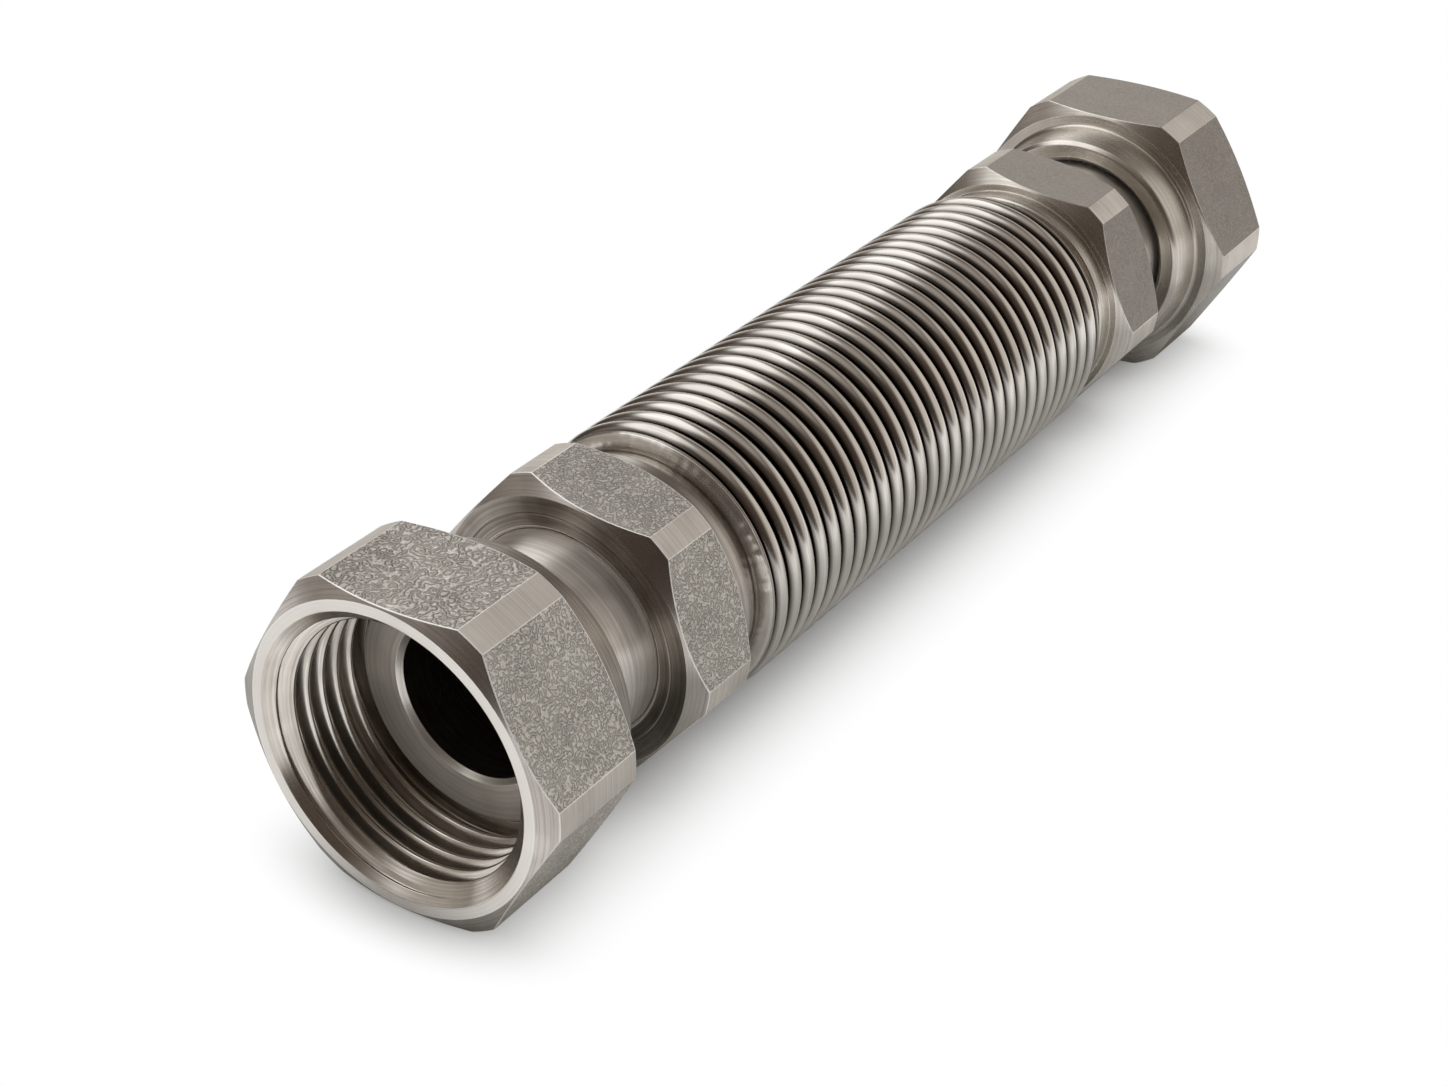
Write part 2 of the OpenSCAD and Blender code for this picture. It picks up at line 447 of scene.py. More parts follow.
@dataclass(frozen=True)
class TurnedSteel(SteelFinish):
    """Stainless steel, turned on a lathe.

    The tool leaves fine rings about the axis: thin light and dark lines that stretch each highlight
    across them. A finishing cut's rings are about 0.1 mm apart. line_mm is coarser, because finer
    ones don't show. Where a shade-free radius is given, the metal below it is painted dark brown as
    painted shade, and where a stretch is given, the rings are too fine for relief and only draw out
    the highlights.
    """

    light: str = "#C9C3BC"
    dark: str = "#98918A"
    roughness: float = 0.24
    metallic: float = 1.0
    depth_mm: float = 0.004
    line_mm: float = 0.3
    cloud_mm: float = 7.0
    stained_mm: float = 0.0
    clean_mm: float = 0.0
    stain: str = "#3A322B"
    stretch: float = 0.0

    TONES = (0.36, 0.64)
    GLOSSES = (0.3, 0.7)
    GLOSS_STEP = 0.05
    # Shares of the tool lines and of the clouds in the tone, how far the lines drift on their way
    # round, and the turn that draws the highlights out across them
    LINE_SHARE: ClassVar[float] = 0.55
    CLOUD_SHARE: ClassVar[float] = 0.45
    DRIFT: ClassVar[float] = 0.0005
    QUARTER_TURN: ClassVar[float] = 0.25

    def build(self) -> Material:
        """Makes the material.

        Returns:
            The material.
        """
        material = new_material(self.name)
        tree = material.node_tree
        add = partial(add_node, tree)
        shader = tree.nodes["Principled BSDF"].inputs
        place = add(COORDINATES).outputs["Object"]
        axis = (0.0, 0.0, AXIS_Z * MM)
        centred = add(VECTOR, {0: place, 1: axis}, operation="SUBTRACT")
        part = add(SPLIT, {0: centred}).outputs
        across = add(MERGE, {"Y": part["Y"], "Z": part["Z"]})
        radius = add(VECTOR, {0: across}, operation="LENGTH").outputs["Value"]
        clouds = {"Vector": place, "Scale": 1 / (self.cloud_mm * MM), "Detail": 2.0}
        cloud = add(NOISE, clouds)
        # The slow drift lets each tool line fade in and out on its way round
        drift = add(MATH, {0: cloud, 1: self.DRIFT}, operation="MULTIPLY")
        section = add(MERGE, {"X": part["X"], "Y": radius, "Z": drift})
        scale = 1 / (self.line_mm * MM)
        lines = add(NOISE, {"Vector": section, "Scale": scale, "Detail": 3.0, "Roughness": 0.6})
        tone = add(MATH, {0: lines, 1: self.LINE_SHARE}, operation="MULTIPLY")
        shares = {0: cloud, 1: self.CLOUD_SHARE, 2: tone}
        mixed = add(MATH, shares, operation="MULTIPLY_ADD")
        colour = self.lay(tree, mixed, lines)
        # Below a radius the metal is painted dark brown: painted shade in the tube's roots
        if self.clean_mm > 0:
            first, last = self.stained_mm * MM, self.clean_mm * MM
            clean = add(
                RANGE,
                {"Value": radius, "From Min": first, "From Max": last},
                interpolation_type="SMOOTHSTEP",
            )
            stained = {"Factor": clean, 6: linear(self.stain), 7: colour}
            colour = add(MIX, stained, data_type="RGBA").outputs[2]
        if self.stretch > 0:
            shader["Anisotropic"].default_value = self.stretch
            shader["Anisotropic Rotation"].default_value = self.QUARTER_TURN
            ways = {0: (1.0, 0.0, 0.0), 1: across}
            way = add(VECTOR, ways, operation="CROSS_PRODUCT")
            tree.links.new(way.outputs["Vector"], shader["Tangent"])
        tree.links.new(colour, shader["Base Color"])
        return material


@dataclass(frozen=True)
class BarSkin(SteelFinish):
    """The pickled skin of hot rolled stainless bar, left on the flats.

    Rolling and pickling leave short wormy ridges that catch the light, under a thin oxide that
    scatters it: so the flats are dull, faintly brown, and never mirror the room. worm_mm is the
    width of a ridge as it shows on each flat. The tone follows the relief: the ridges are painted
    lighter as painted highlights, and the hollows darker as painted shade.
    """

    light: str = "#E6E0D7"
    dark: str = "#9D968D"
    roughness: float = 0.5
    metallic: float = 0.5
    depth_mm: float = 0.1
    worm_mm: float = 0.33

    TONES = (0.15, 0.8)
    GLOSSES = (0.0, 1.0)
    GLOSS_STEP = 0.08
    # Sizes of a swell and of a crumb in widths of a ridge, and of a cloud in millimetres
    SWELL: ClassVar[float] = 4.0
    CRUMB: ClassVar[float] = 0.8
    CLOUD_MM: ClassVar[float] = 6.0
    # How the swells and crumbs add up to the relief, and the relief and the clouds to the tone; the
    # relief's share in the tone is painted highlight on the ridges and painted shade in the hollows
    LEVELS: ClassVar[float] = 42.0
    CRUMB_HEIGHT: ClassVar[float] = 2.4
    HEIGHT_SHARE: ClassVar[float] = 0.25
    HEIGHT_START: ClassVar[float] = -0.14
    CLOUD_SHARE: ClassVar[float] = 0.7

    def build(self) -> Material:
        """Makes the material.

        Returns:
            The material.
        """
        material = new_material(self.name)
        tree = material.node_tree
        add = partial(add_node, tree)
        place = add(COORDINATES).outputs["Object"]
        # Level lines of a slow noise wind like worms, and several of them cross each swell of it
        swell, crumb, cloud = (
            add(NOISE, {"Vector": place, "Scale": scale, "Detail": detail, "Roughness": roughness})
            for scale, detail, roughness in (
                (1 / (self.SWELL * self.worm_mm * MM), 1.6, 0.5),
                (1 / (self.CRUMB * self.worm_mm * MM), 2.0, 0.6),
                (1 / (self.CLOUD_MM * MM), 4.0, 0.65),
            )
        )
        level = add(MATH, {0: swell, 1: self.LEVELS}, operation="MULTIPLY")
        wave = add(MATH, {0: level}, operation="SINE")
        heights = {0: crumb, 1: self.CRUMB_HEIGHT, 2: wave}
        height = add(MATH, heights, operation="MULTIPLY_ADD")
        # The relief lightens the ridges and darkens the hollows: painted highlight and painted
        # shade
        tones = {0: height, 1: self.HEIGHT_SHARE, 2: self.HEIGHT_START}
        tone = add(MATH, tones, operation="MULTIPLY_ADD")
        shares = {0: cloud, 1: self.CLOUD_SHARE, 2: tone}
        mixed = add(MATH, shares, operation="MULTIPLY_ADD")
        shader = tree.nodes["Principled BSDF"].inputs
        tree.links.new(self.lay(tree, mixed, height), shader["Base Color"])
        return material


class Finish(Enum):
    """The finishes of the hose, with what each gives the eye."""

    # Clean lathe work: grey metal with clear rings and soft reflections
    TURNED = TurnedSteel("turned stainless steel, hexagon edges", roughness=0.25)
    # Bar skin in fine worms, dull, and nearly the same from every side
    BAR = BarSkin("pickled stainless bar, fine worms", worm_mm=0.25)
    # The nut's upper flat faces the light, so its coarse worms glint
    BAR_COARSE = BarSkin(
        "pickled stainless bar, coarse worms", "#EBE5DD", "#908A83", metallic=0.6, roughness=0.36
    )
    # The body's upper flat, painted darker than the other flats: painted shade
    BAR_TOP = BarSkin("pickled stainless bar, upper flat", "#D6D0C8", "#918B84", worm_mm=0.25)
    # At the far end the skin is almost even
    BAR_SMOOTH = BarSkin("pickled stainless bar, smooth", "#979089", "#867F78", depth_mm=0.003)
    # The far upper flat, painted lighter than the other far flats: painted light
    BAR_SMOOTH_TOP = BarSkin(
        "pickled stainless bar, smooth upper flat", "#ADA79F", "#9D9790", depth_mm=0.003
    )
    # The nut's mouth, faced across: pale and satin
    FACE = TurnedSteel(
        "faced stainless steel, nut mouth", "#EAE6E0", "#DDD7D0", roughness=0.36, metallic=0.75
    )
    # The cut thread: bright, with sharp dark and light bands
    INSIDE = TurnedSteel("threaded stainless steel", "#E6E0D8", "#B2ABA2", roughness=0.23)
    # Corners turned down with a coarse feed: matt, with lines across the strip
    STRIP = TurnedSteel(
        "turned stainless steel, corner strips", "#DDD7CE", "#BDB5AB",
        roughness=0.5, metallic=0.6, depth_mm=0.008,
    )
    # Edges painted near white: a painted highlight along them
    EDGE = TurnedSteel(
        "burnished stainless steel, worn edges", "#FFFDFA", "#EFEBE5", roughness=0.45, metallic=0.6
    )
    # The far end's lathe work, painted lighter than the near end's as painted light, with drawn out
    # highlights
    FAR_TURNED = TurnedSteel(
        "turned stainless steel, far end", "#E6E1DA", "#BFB8AF",
        roughness=0.27, depth_mm=0.003, stretch=0.6,
    )
    # A darker, browner copy of the turned steel: painted shade on the near nut's collar and back,
    # the near body's face, and the bores of the bodies and necks
    FILM = TurnedSteel(
        "turned stainless steel, oil film", "#ADA69E", "#7A736B",
        roughness=0.3, depth_mm=0.006, stretch=0.7,
    )
    # A fine feed: one long streak of light across the neck
    NECK = TurnedSteel(
        "turned stainless steel, neck", "#F7F3ED", "#C2BBB2",
        roughness=0.32, metallic=0.9, line_mm=0.22, depth_mm=0.006, stretch=0.9,
    )
    # Sheet rolled between polished wheels: mirror bright crests, and roots painted dark brown as
    # painted shade
    TUBE = TurnedSteel(
        "roll formed stainless sheet", "#E4DFD9", "#C4BEB7",
        roughness=0.17, depth_mm=0.002, stained_mm=16.6, clean_mm=17.3,
    )
    # Metal that was molten: pale, smooth and lumpy
    WELD = TurnedSteel(
        "welded stainless steel", "#F0EBE4", "#B9B2A9",
        roughness=0.24, metallic=0.9, line_mm=0.5, stretch=0.5,
    )


Kit = Mapping[Finish, Material]


def dress(mesh: Mesh, kit: Kit, *finishes: Finish) -> None:
    """Gives a mesh its materials, in the order of its skins."""
    for finish in finishes:
        mesh.materials.append(kit[finish])


def dress_hexagon(
    mesh: Mesh, kit: Kit, side: Side, near_top: Finish, face: Finish | None, inside: Finish
) -> None:
    """Gives a hexagonal piece its materials. At the far end it is smoother, and its edges and faces
    get neither painted highlights nor painted shade.

    Args:
        mesh: The piece's mesh.
        kit: The hose's materials.
        side: Its end of the hose.
        near_top: The finish of the upper flat at the near end.
        face: The finish of its face, where it differs from the other turned parts.
        inside: The finish of its bore.
    """
    # At the near end the edges get the painted highlight, and the collar and face the painted shade
    if side is Side.NEAR:
        turned, bar, top, edge, film = Finish.TURNED, Finish.BAR, near_top, Finish.EDGE, Finish.FILM
    else:
        # The far end's turned steel and its upper flat are painted lighter: painted light
        turned, bar, top = Finish.FAR_TURNED, Finish.BAR_SMOOTH, Finish.BAR_SMOOTH_TOP
        edge = film = turned
    dress(mesh, kit, turned, bar, top, face or turned, inside, Finish.STRIP, edge, film)


# ---- placing and Geometry Nodes


def settle(piece: Object, body: str, node: str) -> None:
    """Fixes a finished piece to its body in place of its CAD node.

    Args:
        piece: The finished piece.
        body: The CAD body that it rides on.
        node: The CAD node that it stands for.
    """
    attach(piece, body)
    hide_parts(node)
    faces = len(piece.data.polygons)
    log.info("%s: %d faces, stands for %s on body %s", piece.name, faces, node, body)


def open_tree(name: str, shape: str, inputs: Mapping[str, str], result: str) -> NodeTree:
    """Starts a Geometry Nodes tree.

    Args:
        name: The tree's name.
        shape: The name of the geometry that it takes.
        inputs: The kind of each other input, such as Float, by its name.
        result: The name of the geometry that it gives.

    Returns:
        The tree, with its sockets.
    """
    tree = bpy.data.node_groups.new(name, "GeometryNodeTree")
    for label, kind in {shape: "Geometry", **inputs}.items():
        tree.interface.new_socket(name=label, in_out="INPUT", socket_type=f"NodeSocket{kind}")
    tree.interface.new_socket(name=result, in_out="OUTPUT", socket_type="NodeSocketGeometry")
    return tree


def close_tree(tree: NodeTree, shape: Node, finish: NodeSocket, where: Node | bool = True) -> None:
    """Ends a Geometry Nodes tree with real geometry that has its finish.

    Args:
        tree: The tree.
        shape: The node of the finished geometry.
        finish: The socket of the material.
        where: The faces that get it.
    """
    real = add_node(tree, "GeometryNodeRealizeInstances", {0: shape})
    inputs = {"Geometry": real, "Selection": where, "Material": finish}
    dressed = add_node(tree, "GeometryNodeSetMaterial", inputs)
    add_node(tree, "NodeGroupOutput", {0: dressed})


def bake_nodes(piece: Object, tree: NodeTree, values: Mapping[str, object]) -> None:
    """Runs a Geometry Nodes tree on a piece and keeps its result as a plain mesh.

    Args:
        piece: The piece, whose mesh is the tree's input.
        tree: The tree.
        values: The value of each of the tree's named inputs.
    """
    modifier = piece.modifiers.new("shape", "NODES")
    modifier.node_group = tree
    for item in tree.interface.items_tree:
        if item.item_type == "SOCKET" and item.in_out == "INPUT" and item.name in values:
            modifier[item.identifier] = values[item.name]
    bpy.context.view_layer.update()
    graph = bpy.context.evaluated_depsgraph_get()
    result = bpy.data.meshes.new_from_object(
        piece.evaluated_get(graph), preserve_all_data_layers=True, depsgraph=graph
    )
    piece.modifiers.remove(modifier)
    piece.data = result


# ---- pieces


@dataclass(frozen=True)
class Places:
    """Distances from the hose's middle, outwards, that the pieces of an end share."""

    tube_end: float = 41.15
    spigot_end: float = 44.15
    step_end: float = 46.95
    hex_end: float = 58.3
    flange_back: float = 71.9
    seat_face: float = 74.9
    mouth: float = 88.0
    bore_r: float = 9.5


PLACES = Places()


@dataclass
class UnionNut:
    """A loose union nut: chamfered hexagon, soft collar, internal pipe thread and its relief."""

    side: Side
    hexagon: Hexagon = Hexagon(across=38.0, corner_d=42.0, face_d=37.4, chamfer=1.25)
    hex_l: float = 15.5
    hex_round: float = 0.16
    collar_r: float = 17.1
    collar_end_r: float = 16.3
    collar_edge: float = 0.5
    collar_rounds: Triple = (0.6, 0.5, 0.3)
    back: float = 20.5
    hole_r: float = 13.3
    hole_edge: float = 0.75
    shoulder: float = 16.4
    crest_r: float = 15.145
    sink_r: float = 17.4
    thread_end: float = 11.9
    relief_r: float = 16.9
    relief_w: float = 2.2
    relief_side: float = 0.6
    relief_round: float = 0.15
    thread_pitch: float = 2.309
    thread_depth: float = 1.479
    thread_round: float = 0.35
    first_turn: float = 0.0
    # Steps of the relief's side, the thread and the countersink, which the cutter may move
    steps: tuple[int, int, int] = (10, 96, 30)

    def section(self, radius: float) -> list[Corner]:
        """The nut's section, by depth from its mouth.

        Args:
            radius: The hexagon's radius in this column.

        Returns:
            The corners in order, from the mouth's inner edge outwards and round.
        """
        face_r = self.hexagon.face_d / 2
        cut = self.hexagon.chamfer_depth(radius)
        side, inside, film = self.hex_round, Skin.INSIDE, Skin.FILM
        root_round, tip_round, back_round = self.collar_rounds
        relief_start = self.thread_end + self.relief_side
        relief_end = self.thread_end + self.relief_w
        relief, thread, sink = self.steps
        by_depth = [
            Corner(0.0, self.sink_r, Skin.FACE),
            Corner(0.0, face_r, worn=True),
            Corner(cut, radius, Skin.BAR, side, worn=True),
            Corner(self.hex_l - cut, radius, Skin.TURNED, side, worn=True),
            Corner(self.hex_l, face_r),
            # The collar and the back face take the painted shade
            Corner(self.hex_l, self.collar_r, film, root_round),
            Corner(self.back - self.collar_edge, self.collar_end_r, film, tip_round),
            Corner(self.back, self.collar_end_r - self.collar_edge, film, back_round),
            Corner(self.back, self.hole_r + self.hole_edge, film),
            Corner(self.back - self.hole_edge, self.hole_r, inside),
            Corner(self.shoulder, self.hole_r, inside),
            Corner(self.shoulder, self.crest_r, inside),
            Corner(relief_end, self.crest_r, inside),
            Corner(relief_end - self.relief_side, self.relief_r, inside, self.relief_round),
            Corner(relief_start, self.relief_r, inside, self.relief_round, relief, bored=True),
            Corner(self.thread_end, self.crest_r, inside, 0.0, thread, bored=True),
            Corner(self.sink_r - self.crest_r, self.crest_r, inside, 0.0, sink, bored=True),
        ]
        return [replace(corner, along=PLACES.mouth - corner.along) for corner in by_depth]

    @staticmethod
    def thread_tree() -> NodeTree:
        """Builds the tree that cuts a rounded 55 degree pipe thread into a nut's bored faces.

        Returns:
            The tree.
        """
        sizes = ("Pitch", "Mean Radius", "Half Depth", "Rounding", "First Turn")
        kinds = {**dict.fromkeys(sizes, "Float"), "Finish": "Material"}
        tree = open_tree("cut pipe thread", "Nut", kinds, "Nut")
        add = partial(add_node, tree)
        given = add("NodeGroupInput").outputs
        part = add(SPLIT, {0: add("GeometryNodeInputPosition")}).outputs
        across = add(MERGE, {"Y": part["Y"], "Z": part["Z"]})
        bare = add(VECTOR, {0: across}, operation="LENGTH").outputs["Value"]
        slope = 1 / math.tan(math.radians(55 / 2))
        known: dict[str | float, NodeSocket] = {name: given[name] for name in sizes}
        known |= {"x": part["X"], "y": part["Y"], "z": part["Z"], "bare": bare}
        # Each row is a step of the sum: its name, what it does, and its terms, which may be steps.
        # A groove is half a pitch wide at its mean radius
        for name, operation, *terms in (
            ("angle", "ARCTAN2", "z", "y"),
            ("turns", "DIVIDE", "angle", 2 * math.pi),
            ("along", "DIVIDE", "x", "Pitch"),
            ("ahead", "SUBTRACT", "along", "turns"),
            ("phase", "SUBTRACT", "ahead", "First Turn"),
            ("whole", "ROUND", "phase"),
            ("offset", "SUBTRACT", "phase", "whole"),
            ("share", "ABSOLUTE", "offset"),
            ("rise", "SUBTRACT", 1 / 4, "share"),
            ("run", "MULTIPLY", "rise", "Pitch"),
            ("flank", "MULTIPLY_ADD", "run", slope, "Mean Radius"),
            ("root", "ADD", "Mean Radius", "Half Depth"),
            ("crest", "SUBTRACT", "Mean Radius", "Half Depth"),
            ("rooted", "SMOOTH_MIN", "flank", "root", "Rounding"),
            ("crested", "SMOOTH_MAX", "rooted", "crest", "Rounding"),
            ("cut", "MAXIMUM", "bare", "crested"),
            ("grow", "DIVIDE", "cut", "bare"),
        ):
            inputs = {number: known.get(term, term) for number, term in enumerate(terms)}
            known[name] = add(MATH, inputs, operation=operation).outputs[0]
        wide = add(VECTOR, {0: across, "Scale": known["grow"]}, operation="SCALE")
        line = add(MERGE, {"X": part["X"]})
        moved = add(VECTOR, {0: wide, 1: line}, operation="ADD")
        mark = add("GeometryNodeInputNamedAttribute", {"Name": "bored"}, data_type="FLOAT")
        marks = {0: mark.outputs["Attribute"], 1: 0.5}
        bored = add("FunctionNodeCompare", marks, operation="GREATER_THAN")
        cut = {"Geometry": given["Nut"], "Selection": bored, "Position": moved}
        close_tree(tree, add("GeometryNodeSetPosition", cut), given["Finish"], bored)
        return tree

    def build(self, kit: Kit, tree: NodeTree) -> None:
        """Builds, threads and dresses the nut.

        Args:
            kit: The hose's materials.
            tree: The tree from thread_tree().
        """
        side = self.side.value
        mesh = self.hexagon.shell(f"{side}_nut", 0.0, self.section)
        dress_hexagon(mesh, kit, self.side, Finish.BAR_COARSE, Finish.FACE, Finish.INSIDE)
        piece = show(f"{side}_threaded_nut", mesh)
        values = {
            "Pitch": self.thread_pitch * MM,
            "Mean Radius": (self.crest_r + self.thread_depth / 2) * MM,
            "Half Depth": self.thread_depth / 2 * MM,
            "Rounding": self.thread_round * MM,
            "First Turn": self.first_turn,
            "Finish": kit[Finish.INSIDE],
        }
        bake_nodes(piece, tree, values)
        piece.data.transform(self.side.placement)
        settle(piece, f"{side}_nut", f"{side}_union_nut")


@dataclass
class Tailpiece:
    """The flanged neck that a nut hangs on."""

    side: Side
    neck_r: float = 12.7
    neck_round: float = 0.2
    flange_r: float = 14.8
    flange_edge: float = 0.4
    flange_round: float = 0.08
    bore_edge: float = 0.6
    socket_l: float = 6.0
    columns: int = 144

    def section(self) -> list[Corner]:
        """The neck's section.

        Returns:
            The corners in order, from the inner end outwards.
        """
        p, edge, small = PLACES, self.flange_edge, self.flange_round
        seat, bore = NeckSkin.SEAT, NeckSkin.BORE
        return [
            Corner(p.hex_end - self.socket_l, p.bore_r),
            Corner(p.hex_end - self.socket_l, self.neck_r),
            Corner(p.flange_back, self.neck_r, fillet=self.neck_round),
            Corner(p.flange_back, self.flange_r - edge, fillet=small),
            Corner(p.flange_back + edge, self.flange_r, fillet=small),
            Corner(p.seat_face - edge, self.flange_r, fillet=small),
            Corner(p.seat_face, self.flange_r - edge, seat, small),
            Corner(p.seat_face, p.bore_r + self.bore_edge, fillet=small),
            Corner(p.seat_face - self.bore_edge, p.bore_r, bore, small),
        ]

    def build(self, kit: Kit) -> None:
        """Builds and dresses the neck.

        Args:
            kit: The hose's materials.
        """
        side = self.side.value
        ring = rounded_ring(self.section())
        angles = [360 * i / self.columns for i in range(self.columns)]
        skins = np.tile([int(point.skin) for point in ring], (self.columns, 1))
        mesh = lathe_mesh(f"{side}_neck", angles, [ring] * self.columns, skins)
        # The bore takes the painted shade
        dress(mesh, kit, Finish.NECK, Finish.STRIP, Finish.FILM)
        mesh.transform(self.side.placement)
        piece = show(f"{side}_flanged_neck", mesh)
        settle(piece, "hose", f"{side}_tailpiece")


@dataclass
class HexBody:
    """A hexagonal body: socket for the neck in front, step, spigot and nose behind."""

    side: Side
    turn: float
    hexagon: Hexagon = Hexagon(across=34.0, corner_d=37.6, face_d=33.4, chamfer=1.6)
    hex_round: float = 0.16
    socket_r: float = 12.75
    socket_l: float = 6.0
    socket_edge: float = 0.36
    lip_round: float = 0.2
    ring_r: float = 14.6
    ring_w: float = 0.3
    ring_depth: float = 0.1
    ring_round: float = 0.03
    step_r: float = 15.8
    step_edge: float = 0.2
    step_round: float = 0.12
    small_round: float = 0.06
    spigot_r: float = 15.0
    nose_r: float = 12.65
    nose_l: float = 1.5

    def section(self, radius: float) -> list[Corner]:
        """The body's section.

        Args:
            radius: The hexagon's radius in this column.

        Returns:
            The corners in order, from the socket's mouth outwards and round.
        """
        p, turned, film = PLACES, Skin.TURNED, Skin.FILM
        face_r = self.hexagon.face_d / 2
        cut = self.hexagon.chamfer_depth(radius)
        side, fine, small = self.hex_round, self.ring_round, self.small_round
        return [
            # The face round the socket takes the painted shade
            Corner(p.hex_end, self.socket_r + self.socket_edge, film, self.lip_round, worn=True),
            Corner(p.hex_end, self.ring_r - self.ring_w / 2, film, fine),
            Corner(p.hex_end - self.ring_depth, self.ring_r, film, fine),
            Corner(p.hex_end, self.ring_r + self.ring_w / 2, film, fine),
            Corner(p.hex_end, face_r),
            Corner(p.hex_end - cut, radius, Skin.BAR, side, worn=True),
            Corner(p.step_end + cut, radius, turned, side, worn=True),
            Corner(p.step_end, face_r),
            Corner(p.step_end, self.step_r, turned, self.step_round),
            Corner(p.spigot_end + self.step_edge, self.step_r, turned, small),
            Corner(p.spigot_end, self.step_r - self.step_edge, turned, small, worn=True),
            Corner(p.spigot_end, self.spigot_r),
            Corner(p.tube_end, self.spigot_r),
            Corner(p.tube_end, self.nose_r),
            Corner(p.tube_end - self.nose_l, self.nose_r),
            Corner(p.tube_end - self.nose_l, p.bore_r, Skin.INSIDE),
            Corner(p.hex_end - self.socket_l, p.bore_r),
            Corner(p.hex_end - self.socket_l, self.socket_r),
            Corner(p.hex_end - self.socket_edge, self.socket_r, Skin.EDGE, small),
        ]

    def build(self, kit: Kit) -> None:
        """Builds and dresses the body.

        Args:
            kit: The hose's materials.
        """
        side = self.side.value
        mesh = self.hexagon.shell(f"{side}_hexagon", self.turn, self.section)
        # The bore takes the painted shade at both ends
        dress_hexagon(mesh, kit, self.side, Finish.BAR_TOP, None, Finish.FILM)
        mesh.transform(self.side.placement)
        settle(show(f"{side}_hexagon", mesh), "hose", f"{side}_hex_body")


@dataclass
class WeldSeam:
    """The rough bead between the tube's rim and a body's spigot.

    Its lumps are a sum of waves round it, drawn at random from the seed, with wave_counts waves in
    a turn. Each leans by up to wave_lean radians across the bead.
    """

    side: Side
    seed: int
    foot_r: float = 15.0
    rim_r: float = 17.0
    width: float = 0.8
    columns: int = 300
    arc_points: int = 9
    roughness: float = 0.03
    highest: float = 0.06
    waves: int = 40
    wave_counts: tuple[int, int] = (5, 90)
    wave_lean: float = 4.0

    def build(self, kit: Kit) -> None:
        """Builds and dresses the bead.

        Args:
            kit: The hose's materials.
        """
        side = self.side.value
        rise = self.rim_r - self.foot_r
        arc_r = (rise * rise + self.width * self.width) / (2 * self.width)
        centre = PLACES.tube_end + self.width - arc_r
        sweep = math.asin(rise / arc_r)
        draw = np.random.default_rng(self.seed)
        turns = np.arange(self.columns) * 2 * math.pi / self.columns
        waves = [
            (
                int(count),
                draw.uniform(0, 2 * math.pi),
                draw.normal() / math.sqrt(count),
                self.wave_lean * draw.uniform(-1, 1),
            )
            for count in draw.integers(*self.wave_counts, self.waves)
        ]
        foot = Point(PLACES.tube_end, self.foot_r, Skin.TURNED, False)
        rings: list[Ring] = []
        for turn in turns:
            ring: Ring = []
            for step in range(self.arc_points):
                share = step / (self.arc_points - 1)
                lump = sum(
                    size * math.cos(count * turn + start + lean * share)
                    for count, start, size, lean in waves
                )
                push = self.roughness * lump * math.sin(math.pi * share)
                reach, angle = arc_r + min(push, self.highest), sweep * share
                x, r = centre + reach * math.cos(angle), self.foot_r + reach * math.sin(angle)
                ring.append(Point(x, r, Skin.TURNED, False))
            rings.append([*ring, foot])
        skins = np.zeros((self.columns, self.arc_points + 1), dtype=int)
        mesh = lathe_mesh(f"{side}_bead", np.degrees(turns).tolist(), rings, skins)
        dress(mesh, kit, Finish.WELD)
        mesh.transform(self.side.placement)
        settle(show(f"{side}_weld_bead", mesh), "hose", f"{side}_weld_seam")


